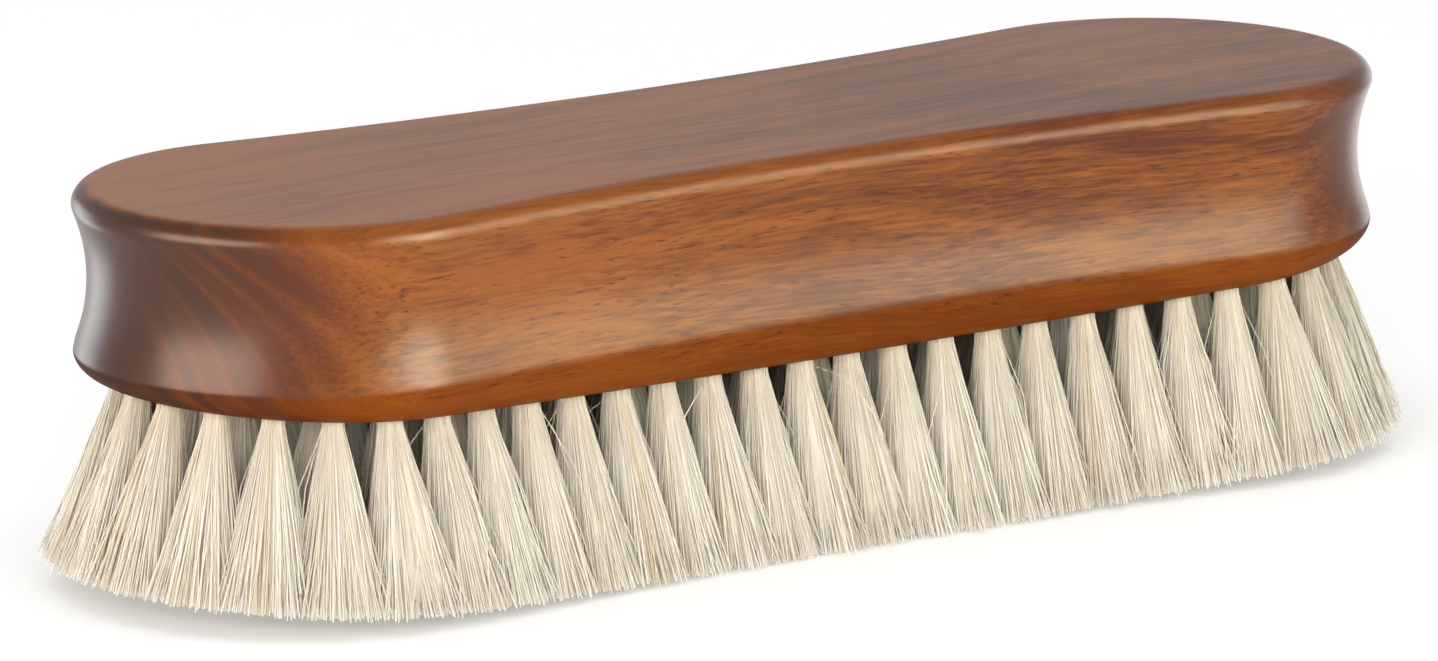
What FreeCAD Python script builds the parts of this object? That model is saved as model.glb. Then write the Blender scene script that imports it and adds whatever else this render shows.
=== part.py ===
import FreeCAD
import Part
import Sketcher
import math
import os

# Shoe shine brush: a waisted beech block with a finger cove round its side and a crowned underside,
# drilled with two rings and a middle line of slanted blind holes. Each hole holds one folded tuft of
# hair behind a short flat wire anchor. Millimetres, +Z up, X along the block, the origin under the
# middle of the hair tips. Pieces are drawn from the underside's lowest line and raised by the hair.

# Driving dimensions

SIZES = {
    # block, seen from above
    "block_length": 180.0,
    "end_width": 54.4,
    "waist_depth": 3.95,
    # block, seen from the side
    "block_height": 26.0,
    "underside_rise": 3.5,
    "top_round": 2.4,
    "cove_depth": 1.8,
    "lower_band": 3.1,
    "lower_bevel_height": 2.4,
    "lower_bevel_width": 3.4,
    # drilled holes
    "hole_width": 3.4,
    "hole_depth": 12.0,
    "edge_row_inset": 6.0,
    "row_gap": 8.6,
    # hair tufts
    "hair_length": 22.0,
    "tuft_clearance": 0.1,
    "tuft_straight": 0.8,
    "side_tip_spread": 3.7,
    "end_tip_spread": 2.3,
    "tip_gap": 0.3,
    # flat wire anchors
    "anchor_length": 3.2,
    "anchor_height": 1.6,
    "anchor_thickness": 0.5,
    "anchor_clearance": 0.05,
}

# The top edge's round is this many flats
TOP_ROUND_FLATS = 3

# Tufts in a quarter of the edge ring and of the middle ring, and on each side of the centre tuft
OUTER_COUNT = 14
MIDDLE_COUNT = 9
CENTRE_COUNT = 7

# Lines of tufts across the waist: two of the edge ring, two of the middle ring, one in the centre
LINE_COUNT = 5

# Sizes that follow from the driving ones, as sheet formulas
DERIVED = {
    "end_radius": "=end_width / 2",
    "end_centre": "=block_length / 2 - end_radius",
    "half_waist": "=end_radius - waist_depth",
    "waist_radius": "=(end_centre^2 + half_waist^2 - end_radius^2) / (2 * waist_depth)",
    "waist_centre": "=waist_radius + half_waist",
    "tangent_x": "=end_centre * waist_radius / (end_radius + waist_radius)",
    "tangent_y": "=waist_centre * end_radius / (end_radius + waist_radius)",
    "crown_radius": "=block_length^2 / (8 * underside_rise) + underside_rise / 2",
    "cove_half": "=(block_height - top_round - underside_rise - lower_band) / 2",
    "cove_radius": "=(cove_half^2 + cove_depth^2) / (2 * cove_depth)",
}

doc = FreeCAD.newDocument("shoe_brush")
sheet = doc.addObject("Spreadsheet::Sheet", "Sizes")
for line, (name, value) in enumerate({**SIZES, **DERIVED}.items(), start=1):
    sheet.set(f"A{line}", name)
    sheet.set(f"B{line}", str(value))
    sheet.setAlias(f"B{line}", name)
doc.recompute()


def size(name):
    """One size of the sheet as a plain number."""
    return float(sheet.get(name))


# Sketches whose corners and radii are bound to the sheet


def new_sketch(body, name, role):
    """A sketch of the body on its own origin plane of that role."""
    sketch = body.newObject("Sketcher::SketchObject", name)
    plane = next(item for item in body.Origin.OriginFeatures if item.Role == role)
    sketch.AttachmentSupport = (plane, [""])
    sketch.MapMode = "FlatFace"
    return sketch


def bind(sketch, constraint, formula):
    """Add a dimension and tie it to the sheet."""
    number = sketch.addConstraint(constraint)
    sketch.setExpression(f"Constraints[{number}]", formula)


def arc_between(start, end, radius, side):
    """The shorter arc between two points, its centre left of the chord for side 1, right for -1."""
    chord = end - start
    middle = (start + end) / 2
    across = FreeCAD.Vector(-chord.y, chord.x, 0).normalize() * side
    centre = middle + across * math.sqrt(max(radius**2 - (chord.Length / 2) ** 2, 0))
    top = centre + (middle - centre).normalize() * radius
    return Part.Arc(start, top, end) if side > 0 else Part.Arc(end, top, start)


def draw_profile(sketch, corners, arcs):
    """Close a profile through corners given as pairs of formulas.

    arcs maps a corner's number to (radius formula, side) where an arc leaves that corner.
    """
    value = sketch.evalExpression
    points = [FreeCAD.Vector(float(value(x)), float(value(y)), 0) for x, y in corners]
    for number, start in enumerate(points):
        end = points[(number + 1) % len(points)]
        if number in arcs:
            formula, side = arcs[number]
            sketch.addGeometry(arc_between(start, end, float(value(formula)), side), False)
        else:
            sketch.addGeometry(Part.LineSegment(start, end), False)

    def end_at(edge, point):
        """1 where the edge starts at the point, 2 where it ends there."""
        curve = sketch.Geometry[edge]
        return 1 if (curve.StartPoint - point).Length < (curve.EndPoint - point).Length else 2

    for number, point in enumerate(points):
        before = (number - 1) % len(points)
        here = (number, end_at(number, point))
        sketch.addConstraint(Sketcher.Constraint("Coincident", *here, before, end_at(before, point)))
        for kind, formula, place in zip(("DistanceX", "DistanceY"), corners[number], point):
            if formula == "0":
                axis = -2 if kind == "DistanceX" else -1
                sketch.addConstraint(Sketcher.Constraint("PointOnObject", *here, axis))
            else:
                bind(sketch, Sketcher.Constraint(kind, -1, 1, *here, place), formula)
    for number, (formula, _) in arcs.items():
        radius = float(value(formula))
        bind(sketch, Sketcher.Constraint("Radius", number, radius), formula)
    doc.recompute()


# Block: padded outline, crowned underside, one moulding cut round it, bevelled lower edge


def rim_edges(feature):
    """Names of the edges round a feature's underside, its lowest face."""
    shape = feature.Shape
    underside = min(shape.Faces, key=lambda face: face.CenterOfMass.z)
    rim = underside.OuterWire.Edges
    edges = enumerate(shape.Edges, start=1)
    return [f"Edge{number}" for number, edge in edges if any(edge.isSame(item) for item in rim)]


def swept(body, kind, name, profile, spine):
    """Carry a profile round a spine with the profile kept upright."""
    pipe = body.newObject(kind, name)
    pipe.Profile = profile
    pipe.Spine = spine
    pipe.Mode = "Binormal"
    pipe.Binormal = FreeCAD.Vector(0, 0, 1)
    doc.recompute()
    return pipe


def make_blank():
    """The block before drilling, with its underside's lowest line at z = 0."""
    body = doc.addObject("PartDesign::Body", "block_blank")

    outline = new_sketch(body, "Outline", "XY_Plane")
    tangent_x, tangent_y = "Sizes.tangent_x", "Sizes.tangent_y"
    tip = "Sizes.block_length / 2"
    end_arc = ("Sizes.end_radius", 1)
    waist_arc = ("Sizes.waist_radius", -1)
    draw_profile(
        outline,
        [
            (tip, "0"),
            (tangent_x, tangent_y),
            ("-" + tangent_x, tangent_y),
            ("-" + tip, "0"),
            ("-" + tangent_x, "-" + tangent_y),
            (tangent_x, "-" + tangent_y),
        ],
        {0: end_arc, 1: waist_arc, 2: end_arc, 3: end_arc, 4: waist_arc, 5: end_arc},
    )
    pad = body.newObject("PartDesign::Pad", "Plank")
    pad.Profile = outline
    pad.setExpression("Length", "Sizes.block_height")
    doc.recompute()

    crown = new_sketch(body, "Crown", "XZ_Plane")
    rise, below = "Sizes.underside_rise", "-Sizes.underside_rise"
    draw_profile(
        crown,
        [("-" + tip, rise), (tip, rise), (tip, below), ("-" + tip, below)],
        {0: ("Sizes.crown_radius", 1)},
    )
    crowned = body.newObject("PartDesign::Pocket", "Crowned_underside")
    crowned.Profile = crown
    crowned.Type = "ThroughAll"
    crowned.Midplane = True
    doc.recompute()
    if crowned.Shape.Volume >= pad.Shape.Volume:
        raise RuntimeError("the crown cut nothing")

    # The cove and the rounded top edge keep level all round, so the band under the cove narrows towards
    # the ends, where it is the lower band's height. The top's round is a few narrow flats.
    moulding = new_sketch(body, "Moulding", "XZ_Plane")
    top = "Sizes.block_height"
    band_top = "Sizes.underside_rise + Sizes.lower_band"
    above = top + " + Sizes.top_round"
    outside = tip + " + Sizes.cove_depth"
    top_edge = []
    for flat in range(TOP_ROUND_FLATS + 1):
        turn = f"{90 * flat / TOP_ROUND_FLATS} deg"
        out = f"{tip} - Sizes.top_round * (1 - sin({turn}))"
        up = f"{top} - Sizes.top_round * (1 - cos({turn}))"
        top_edge.append((out, up))
    draw_profile(
        moulding,
        [*top_edge, (tip, band_top), (outside, band_top), (outside, above), (top_edge[0][0], above)],
        {TOP_ROUND_FLATS: ("Sizes.cove_radius", 1)},
    )
    moulded = swept(body, "PartDesign::SubtractivePipe", "Cove", moulding, (outline, []))
    if moulded.Shape.Volume >= crowned.Shape.Volume:
        raise RuntimeError("the cove cut nothing")

    bevel = body.newObject("PartDesign::Chamfer", "Lower_bevel")
    bevel.Base = (moulded, rim_edges(moulded))
    bevel.ChamferType = "Two distances"
    bevel.setExpression("Size", "Sizes.lower_bevel_height")
    bevel.setExpression("Size2", "Sizes.lower_bevel_width")
    doc.recompute()
    return body


# Where the tufts stand


def crown_height(x):
    """How far the underside has risen at x."""
    radius = size("crown_radius")
    return radius - math.sqrt(radius**2 - x**2)


def outline_at(ring_inset, way):
    """Outline point and outward direction in the first quarter, way mm along a ring set in from it.

    The way starts at the end of the block and runs over the end arc, then over the waist arc.
    """
    end_turn = math.pi / 2 + math.atan2(size("end_centre"), size("waist_centre"))
    end_way = (size("end_radius") - ring_inset) * end_turn
    if way < end_way:
        angle = way / (size("end_radius") - ring_inset)
        out = FreeCAD.Vector(math.cos(angle), math.sin(angle), 0)
        return FreeCAD.Vector(size("end_centre"), 0, 0) + out * size("end_radius"), out
    angle = end_turn - (way - end_way) / (size("waist_radius") + ring_inset)
    out = FreeCAD.Vector(math.cos(angle), math.sin(angle), 0)
    return FreeCAD.Vector(0, size("waist_centre"), 0) - out * size("waist_radius"), out


def quarter_way(ring_inset):
    """Length of a quarter of the ring set in from the outline."""
    turn = math.atan2(size("end_centre"), size("waist_centre"))
    end = (size("end_radius") - ring_inset) * (math.pi / 2 + turn)
    return end + (size("waist_radius") + ring_inset) * turn


def tip_spread(out):
    """How far the hair tips stand outside the outline where it faces the direction out."""
    return size("side_tip_spread") * out.y**2 + size("end_tip_spread") * out.x**2


# A tuft's tip fills six corners of its cell: shares of the cell along the row, then across it
NEAR = 1 / 6
FAR = 1 - NEAR
CELL_CORNERS = ((1, 1 / 2), (FAR, 0), (NEAR, 0), (0, 1 / 2), (NEAR, 1), (FAR, 1))


def ring_stations(ring_inset, count, outer, inner):
    """One quarter of a ring of tufts, as (root, tip corners) from the block's end to its waist.

    The tip cell of each tuft reaches from the inset outer, or from the outermost tips where that
    is None, to the inset inner.
    """
    step = quarter_way(ring_inset) / count
    stations = []
    for number in range(count):
        edge, out = outline_at(ring_inset, (number + 0.5) * step)
        corners = []
        for along, across in CELL_CORNERS:
            place, facing = outline_at(ring_inset, (number + along) * step)
            start = -tip_spread(facing) if outer is None else outer
            corners.append(place - facing * (start + (inner - start) * across))
        stations.append((edge - out * ring_inset, corners))
    return stations


def centre_half_width(x, inset):
    """Half the width at x of the outline set in by inset."""
    if x < size("tangent_x"):
        return size("waist_centre") - math.sqrt((size("waist_radius") + inset) ** 2 - x**2)
    return math.sqrt(max((size("end_radius") - inset) ** 2 - (x - size("end_centre")) ** 2, 0))


def centre_stations(half_length, count, inset):
    """The tufts of the middle line from x = 0 to its end, as (root, tip corners)."""
    step = half_length / count
    stations = []
    for number in range(count + 1):
        start = (number - 0.5) * step
        end = start + step if number < count else size("block_length") / 2 - inset
        corners = []
        for along, across in CELL_CORNERS:
            x = start + (end - start) * along
            half = centre_half_width(abs(x), inset)
            corners.append(FreeCAD.Vector(x, half * (1 - 2 * across), 0))
        stations.append((FreeCAD.Vector(number * step, 0, 0), corners))
    return stations


def mirrored(station, x_sign, y_sign):
    """The same station on another quarter of the block."""
    root, corners = station
    flip = FreeCAD.Matrix()
    flip.scale(x_sign, y_sign, 1)
    return flip.multiply(root), [flip.multiply(corner) for corner in corners]


# Tuft, hole and anchor of one station, all with flat sides

# A hole's side this near to square across the block, in radians, is cut square
NEARLY_SQUARE = 0.01


def stacked_solid(polygons):
    """Solid through polygons of the same number of corners: flat sides between, caps at both ends."""
    faces = [Part.Face(Part.makePolygon([*polygons[end], polygons[end][0]])) for end in (0, -1)]
    for lower, upper in zip(polygons, polygons[1:]):
        for number in range(len(lower)):
            following = (number + 1) % len(lower)
            ring = (lower[number], lower[following], upper[following], upper[number], lower[number])
            faces.append(Part.Face(Part.makePolygon(ring)))
    solid = Part.Solid(Part.Shell(faces))
    if solid.Volume < 0:
        solid.reverse()
    return solid


def polygon_round(corners, radius, nearly_square=0):
    """Corners of the polygon round a circle at the origin, its sides parallel to those of corners.

    A side within nearly_square radians of the Y direction is turned to lie along it.
    """
    normals = []
    for start, end in zip(corners, corners[1:] + corners[:1]):
        side = (end - start).normalize()
        if abs(side.x) < nearly_square:
            side = FreeCAD.Vector(0, math.copysign(1, side.y), 0)
        normals.append(FreeCAD.Vector(side.y, -side.x, 0))
    centre = sum(corners, FreeCAD.Vector()) / len(corners)
    sign = 1 if normals[0].dot(corners[0] - centre) > 0 else -1
    result = []
    for before, after in zip(normals[-1:] + normals[:-1], normals):
        result.append((before + after) * (sign * radius / (1 + before.dot(after))))
    return result


class Station:
    """One hole with its tuft and anchor: the axis runs from the hair's tip up into the block."""

    def __init__(self, root, corners):
        middle = sum(corners, FreeCAD.Vector()) / len(corners)
        gap = size("tip_gap")
        self.corners = [corner - (corner - middle).normalize() * gap for corner in corners]
        self.root = root + FreeCAD.Vector(0, 0, crown_height(root.x))
        self.tip = middle + FreeCAD.Vector(0, 0, crown_height(middle.x) - size("hair_length"))
        self.axis = (self.root - self.tip).normalize()
        self.slope = middle.x / math.sqrt(size("crown_radius") ** 2 - middle.x**2)
        self.row = (corners[0] - corners[3]).normalize()

    def laid(self, offsets, depth):
        """Offsets laid in the trimming plane's slope at that depth along the axis from the root."""
        centre = self.root + self.axis * depth
        return [centre + offset + FreeCAD.Vector(0, 0, self.slope * offset.x) for offset in offsets]

    def hole(self):
        """The drilled hole, begun a hole's width below the underside."""
        offsets = polygon_round(self.corners, size("hole_width") / 2, NEARLY_SQUARE)
        mouth = self.laid(offsets, -size("hole_width"))
        end = self.laid(offsets, size("hole_depth"))
        return stacked_solid([mouth, end])

    def anchor(self):
        """The flat wire anchor across the hole's end, along its row."""
        along = self.row * (size("anchor_length") / 2)
        across = FreeCAD.Vector(-self.row.y, self.row.x, 0) * (size("anchor_thickness") / 2)
        offsets = [along + across, across - along, -along - across, along - across]
        top = size("hole_depth") - size("anchor_clearance")
        foot = top - size("anchor_height")
        return stacked_solid([self.laid(offsets, foot), self.laid(offsets, top)])

    def tuft(self):
        """The tuft from its fold under the anchor, straight out of the hole, then widening to its tip."""
        offsets = polygon_round(self.corners, size("hole_width") / 2 - size("tuft_clearance"))
        fold = size("hole_depth") - size("anchor_height") - 2 * size("anchor_clearance")
        tip = []
        for corner in self.corners:
            offset = corner - FreeCAD.Vector(self.tip.x, self.tip.y, 0)
            tip.append(self.tip + offset + FreeCAD.Vector(0, 0, self.slope * offset.x))
        collar = self.laid(offsets, -size("tuft_straight"))
        return stacked_solid([tip, collar, self.laid(offsets, fold)])


def make_rows():
    """The stations of the three rows, each as a list of groups of mirror-image stations."""
    edge_inset = size("edge_row_inset")
    middle_inset = edge_inset + size("row_gap")
    half_waist = size("half_waist")
    # at the waist the tips of all lines of tufts share the brush's width evenly
    share = (half_waist + size("side_tip_spread")) / LINE_COUNT
    edge_inner = half_waist - 3 * share
    middle_inner = half_waist - share
    quarters = ((1, 1), (-1, 1), (-1, -1), (1, -1))
    edge = ring_stations(edge_inset, OUTER_COUNT, None, edge_inner)
    middle = ring_stations(middle_inset, MIDDLE_COUNT, edge_inner, middle_inner)
    half_length = size("block_length") / 2 - middle_inset - size("row_gap")
    centre = centre_stations(half_length, CENTRE_COUNT, middle_inner)
    rows = {}
    for name, stations in (("edge", edge), ("middle", middle)):
        rows[name] = [[Station(*mirrored(item, *signs)) for signs in quarters] for item in stations]
    pairs = [[Station(*mirrored(item, sign, 1)) for sign in (1, -1)] for item in centre[1:]]
    rows["centre"] = [[Station(*centre[0])]] + pairs
    return rows


def add_solids(label, solids):
    """A sub-part of separate solids, raised so that the hair tips stand on z = 0."""
    feature = doc.addObject("Part::Feature", label)
    feature.Label = label
    feature.Shape = Part.makeCompound(solids)
    feature.setExpression("Placement.Base.z", "Sizes.hair_length")
    return feature


blank = make_blank()
blank.setExpression("Placement.Base.z", "Sizes.hair_length")
rows = make_rows()
stations = [station for groups in rows.values() for group in groups for station in group]

block = doc.addObject("Part::Cut", "block")
block.Label = "block"
block.Base = blank
block.Tool = add_solids("drilling", [station.hole() for station in stations])

sub_parts = [block]
for row, groups in rows.items():
    for number, group in enumerate(groups, start=1):
        tufts = [station.tuft() for station in group]
        sub_parts.append(add_solids(f"{row}_tufts_{number:02d}", tufts))
    anchors = [station.anchor() for group in groups for station in group]
    sub_parts.append(add_solids(f"{row}_anchors", anchors))
doc.recompute()

# Every object is checked before anything is written

for item in doc.Objects:
    if "Invalid" in item.State or "Error" in item.State:
        raise RuntimeError(f"{item.Label} failed: {item.State}")
for item in sub_parts:
    if item.Shape.isNull() or not item.Shape.isValid():
        raise RuntimeError(f"{item.Label} has no valid shape")

os.makedirs("parts", exist_ok=True)
for item in sub_parts:
    item.Shape.exportStep(os.path.join("parts", f"{item.Label}.step"))
print(f"{len(sub_parts)} nodes, {len(stations)} tufts")
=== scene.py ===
import math

import bpy
import numpy as np
from bpy.props import FloatProperty, FloatVectorProperty, IntProperty, PointerProperty, StringProperty
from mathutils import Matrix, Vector


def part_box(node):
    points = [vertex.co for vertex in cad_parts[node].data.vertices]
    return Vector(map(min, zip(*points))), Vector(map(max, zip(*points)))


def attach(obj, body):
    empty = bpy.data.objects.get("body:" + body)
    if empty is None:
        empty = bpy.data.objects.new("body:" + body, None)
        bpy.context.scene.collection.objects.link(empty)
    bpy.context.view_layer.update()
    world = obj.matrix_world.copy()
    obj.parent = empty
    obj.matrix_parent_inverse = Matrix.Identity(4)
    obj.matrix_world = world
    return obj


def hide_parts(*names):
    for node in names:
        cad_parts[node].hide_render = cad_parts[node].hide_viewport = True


bl_info = {
    "name": "Shoe shine brush",
    "version": (1, 0, 0),
    "blender": (4, 5, 0),
    "location": "View3D > Sidebar > Brush",
    "description": "Lacquered beech block and hair tufts over the packed solids of a shoe shine brush",
    "category": "Object",
}

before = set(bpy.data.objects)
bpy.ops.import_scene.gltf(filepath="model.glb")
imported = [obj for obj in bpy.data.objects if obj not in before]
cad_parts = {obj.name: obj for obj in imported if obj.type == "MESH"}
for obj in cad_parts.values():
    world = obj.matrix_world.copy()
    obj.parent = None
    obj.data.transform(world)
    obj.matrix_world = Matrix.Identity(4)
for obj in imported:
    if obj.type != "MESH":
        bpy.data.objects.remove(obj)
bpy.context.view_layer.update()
MM = 0.001

# Every node of hair solids, row by row
HAIR_NODES = sorted(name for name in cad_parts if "_tufts_" in name)
ANCHOR_NODES = sorted(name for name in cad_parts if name.endswith("_anchors"))

# Softboxes: name, azimuth and elevation in degrees, distance, width, height, brightness and colour.
# The scrims light everything softly and aren't mirrored; the strips are only mirrored.
SOFTBOXES = (
    ("front_scrim", -43, 14, 1.2, 1.7, 0.56, 4.6, "ffffff"),
    ("overhead_scrim", 0, 86, 1.5, 1.5, 1.5, 1.0, "ffffff"),
    ("front_strip", 19, 20, 1.0, 0.55, 0.55, 8.0, "edffe8"),
    ("near_strip", 50, 24, 0.235, 0.05, 0.15, 7.0, "edffe8"),
    ("arc_strip", 15.5, 24, 0.22, 0.095, 0.15, 11.0, "edffe8"),
    ("left_strip", -84, 18, 1.0, 0.9, 0.55, 12.5, "ffe8d6"),
    ("back_left_strip", -136.5, 12.5, 0.142, 0.055, 0.058, 3.5, "f4faff"),
    ("back_right_strip", 105, 9.8, 0.182, 0.06, 0.058, 1.3, "fffaf4"),
)


# Settings


class BlockSettings(bpy.types.PropertyGroup):
    """Sizes and colours of the wooden block."""

    waist_depth: FloatProperty(
        name="Waist depth",
        description="How far each side draws in at the middle of the length",
        default=3.95 * MM,
        unit="LENGTH",
    )
    rise: FloatProperty(
        name="Underside rise",
        description="How far the crowned underside rises from the middle to the ends",
        default=3.5 * MM,
        unit="LENGTH",
    )
    top_round: FloatProperty(
        name="Top round", description="Radius of the top edge", default=2.4 * MM, unit="LENGTH"
    )
    cove_depth: FloatProperty(
        name="Cove depth", description="Depth of the finger groove", default=1.8 * MM, unit="LENGTH"
    )
    lower_band: FloatProperty(
        name="Lower band",
        description="Height of the band below the groove at the ends",
        default=3.1 * MM,
        unit="LENGTH",
    )
    lower_round: FloatProperty(
        name="Lower round",
        description="How far the rounded lower edge reaches inwards",
        default=4.6 * MM,
        unit="LENGTH",
    )
    light_wood: StringProperty(name="Light wood", description="Early wood, sRGB hex", default="93521a")
    dark_wood: StringProperty(name="Dark wood", description="Late wood, sRGB hex", default="5d2b0b")
    fleck: StringProperty(name="Fleck", description="Rays and pores, sRGB hex", default="33160a")
    # painted shade: the darker colour of the band under the groove and of the rounded top edge
    shaded_edge_wood: StringProperty(name="Edge wood", description="Stain on the edges, sRGB hex", default="783909")
    end_wood: StringProperty(name="End wood", description="End grain under stain, sRGB hex", default="44281d")


class HairSettings(bpy.types.PropertyGroup):
    """Sizes and colours of the hair."""

    strands: IntProperty(name="Edge strands", description="Hairs in each tuft of the edge row", default=860)
    inner_strands: IntProperty(name="Inner strands", description="Hairs in each other tuft", default=400)
    thickness: FloatProperty(
        name="Thickness",
        description="Hair diameter half way down in the edge row",
        default=0.14 * MM,
        unit="LENGTH",
    )
    inner_thickness: FloatProperty(
        name="Inner thickness",
        description="Hair diameter in the inner rows, coarser so that fewer hairs fill them",
        default=0.21 * MM,
        unit="LENGTH",
    )
    row_fan: FloatProperty(
        name="Fan along the row", description="Width of a tuft's fan over its own share of the row", default=1.6
    )
    cross_fan: FloatProperty(
        name="Fan across the row", description="Depth of a tuft's fan over its own share", default=1.06
    )
    end_flare: FloatProperty(
        name="End flare",
        description="How much further the tips at the ends lean out",
        default=1.0 * MM,
        unit="LENGTH",
    )
    root_width: FloatProperty(
        name="Root width", description="Width of a tuft at the wood over its hole's", default=0.82
    )
    wander: FloatProperty(
        name="Wander", description="Usual stray of a tip from its place", default=0.75 * MM, unit="LENGTH"
    )
    bow: FloatProperty(name="Bow", description="Usual bend of a hair", default=0.22 * MM, unit="LENGTH")
    looseness: FloatProperty(
        name="Looseness", description="Usual stray and bend of a loose hair", default=1.1 * MM, unit="LENGTH"
    )
    shortest: FloatProperty(
        name="Shortest", description="Most that a short hair lacks", default=3 * MM, unit="LENGTH"
    )
    clumping: FloatProperty(
        name="Clumping",
        description="How far tips draw together in locks",
        default=0.08,
        min=0,
        max=1,
        subtype="FACTOR",
    )
    trim: FloatProperty(
        name="Trim", description="Usual unevenness of the cut tips", default=0.2 * MM, unit="LENGTH"
    )
    strays: IntProperty(name="Loose hairs", description="Hairs that cross the roots", default=20, max=32)
    light_hair: StringProperty(name="Light hair", description="Bleached hair, sRGB hex", default="ece5d6")
    cream_hair: StringProperty(name="Cream hair", description="Most of the hair, sRGB hex", default="e4dac7")
    straw_hair: StringProperty(name="Straw hair", description="The yellower locks, sRGB hex", default="dcc699")


class StageSettings(bpy.types.PropertyGroup):
    """Camera, light and floor."""

    azimuth: FloatProperty(
        name="Azimuth",
        description="Camera's turn from straight in front",
        default=math.radians(-35.86),
        subtype="ANGLE",
    )
    elevation: FloatProperty(
        name="Elevation", description="Camera's height angle", default=math.radians(12.77), subtype="ANGLE"
    )
    distance: FloatProperty(name="Distance", description="Camera to target", default=1.405, unit="LENGTH")
    target: FloatVectorProperty(
        name="Target", description="Point on the camera's axis", default=(-0.0015, 0, 0.0216), unit="LENGTH"
    )
    lens: FloatProperty(name="Lens", description="Focal length in millimetres on a 36 mm sensor", default=292.3)
    shift: FloatVectorProperty(
        name="Shift",
        description="Lens shift as a share of the picture's width",
        size=2,
        default=(-0.00626, 0.00243),
    )
    light: FloatProperty(name="Light", description="Share of the softboxes' full brightness", default=1.0)
    surround: FloatProperty(name="Surround", description="Brightness of the studio's walls", default=0.58)
    ceiling: FloatProperty(name="Ceiling", description="Brightness of the studio's ceiling", default=0.42)
    glow: FloatProperty(name="Floor glow", description="Light that the floor sheet gives off", default=0.22)
    floor: StringProperty(name="Floor", description="Floor colour, sRGB hex", default="ffffff")


# Meshes

# Points on each quarter's end arc and half waist, and on the profile's round, cove and lower edge
END_POINTS = 56
WAIST_POINTS = 44
ROUND_POINTS = 16
COVE_POINTS = 48
LOWER_POINTS = 24
# The profile's flat ends on the top and underside, and one in how many sanded points is kept
FLAT_RUN = 2 * MM
KEPT_EVERY = 3
# Sanding, steps of the sanded line, and how many spreads its bell curve reaches
SANDING = 0.45 * MM
RIM_SANDING = 1.0 * MM
SANDING_STEP = 0.1 * MM
BELL_REACH = 3
# The rounder sanding starts this far above the groove's lower rim and is full so much lower
RIM_REACH = 4 * MM
RIM_BLEND = 2 * MM
# Painted shade comes in over this height; its share on the top edge, and the lacquer that the band lacks
EDGE_BLEND = 0.8 * MM
TOP_EDGE_SHADE = 0.45
BAND_LACQUER_LOSS = 0.8
# A tuft solid's sides, and the decimals of a metre that tell its corners apart
TUFT_SIDES = 6
CORNER_DECIMALS = 6


def new_piece(name, points, quads, triangles, material):
    """Mesh object at the origin from arrays of points and of corner numbers, all smooth."""
    mesh = bpy.data.meshes.new(name)
    corners = np.concatenate([quads.ravel(), triangles.ravel()]).astype(np.int32)
    starts = np.concatenate([np.arange(len(quads)) * 4, quads.size + np.arange(len(triangles)) * 3])
    mesh.vertices.add(len(points))
    mesh.vertices.foreach_set("co", points.astype(np.float32).ravel())
    mesh.loops.add(len(corners))
    mesh.loops.foreach_set("vertex_index", corners)
    mesh.polygons.add(len(starts))
    mesh.polygons.foreach_set("loop_start", starts.astype(np.int32))
    mesh.polygons.foreach_set("use_smooth", np.ones(len(starts), bool))
    mesh.update(calc_edges=True)
    mesh.materials.append(material)
    piece = bpy.data.objects.new(name, mesh)
    bpy.context.scene.collection.objects.link(piece)
    return piece


def outline(block, half_length, end_radius):
    """Points round the block and their outward directions, from the +X tip counterclockwise.

    Each end is an arc about a point on the X axis. Each side is a wide arc, curving inwards, that
    touches both end arcs: its radius W makes W plus the end radius the distance between centres.
    """
    centre = half_length - end_radius
    half_waist = end_radius - block.waist_depth
    wide = (centre**2 + half_waist**2 - end_radius**2) / (2 * block.waist_depth)
    across = wide + half_waist
    lean = math.atan2(centre, across)
    turn = math.pi / 2 + lean
    angle = np.linspace(0, turn, END_POINTS, endpoint=False)
    out = np.stack([np.cos(angle), np.sin(angle)], 1)
    quarter = [np.array([centre, 0]) + out * end_radius]
    facing = [out]
    angle = np.linspace(turn, math.pi / 2, WAIST_POINTS, endpoint=False)
    out = np.stack([np.cos(angle), np.sin(angle)], 1)
    quarter.append(np.array([0, across]) - out * wide)
    facing.append(out)
    points = np.concatenate(quarter)
    facing = np.concatenate(facing)
    middle_point = np.array([[0, half_waist]])
    middle_facing = np.array([[0, 1.0]])
    flip = np.array([-1, 1])
    half = np.concatenate([points, middle_point, points[:0:-1] * flip])
    half_facing = np.concatenate([facing, middle_facing, facing[:0:-1] * flip])
    tip, tip_facing = points[:1] * flip, facing[:1] * flip
    down = np.array([1, -1])
    ring = np.concatenate([half, tip, half[:0:-1] * down])
    ring_facing = np.concatenate([half_facing, tip_facing, half_facing[:0:-1] * down])
    return ring, ring_facing


def softened(corners, spread):
    """A profile line walked in even steps and averaged with its neighbours, as sanding does.

    Each point becomes the mean of the line about it, weighted by a bell curve of that spread.
    """
    along = np.concatenate([[0], np.cumsum(np.hypot(*np.diff(corners, axis=0).T))])
    walk = np.linspace(0, along[-1], int(along[-1] / SANDING_STEP) + 1)
    line = np.stack([np.interp(walk, along, corners[:, 0]), np.interp(walk, along, corners[:, 1])], 1)
    reach = int(BELL_REACH * spread / SANDING_STEP)
    bell = np.exp(-0.5 * (np.arange(-reach, reach + 1) * SANDING_STEP / spread) ** 2)
    bell /= bell.sum()
    ahead = 2 * line[:1] - line[reach:0:-1]
    behind = 2 * line[-1:] - line[-2 : -reach - 2 : -1]
    padded = np.concatenate([ahead, line, behind])
    return np.stack([np.convolve(padded[:, axis], bell, "valid") for axis in (0, 1)], 1)


def arc(centre, radius, start, end, count):
    """Points on an ellipse's arc between two angles in degrees."""
    angle = np.radians(np.linspace(start, end, count))
    return np.stack([centre[0] + radius[0] * np.cos(angle), centre[1] + radius[1] * np.sin(angle)], 1)


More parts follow.
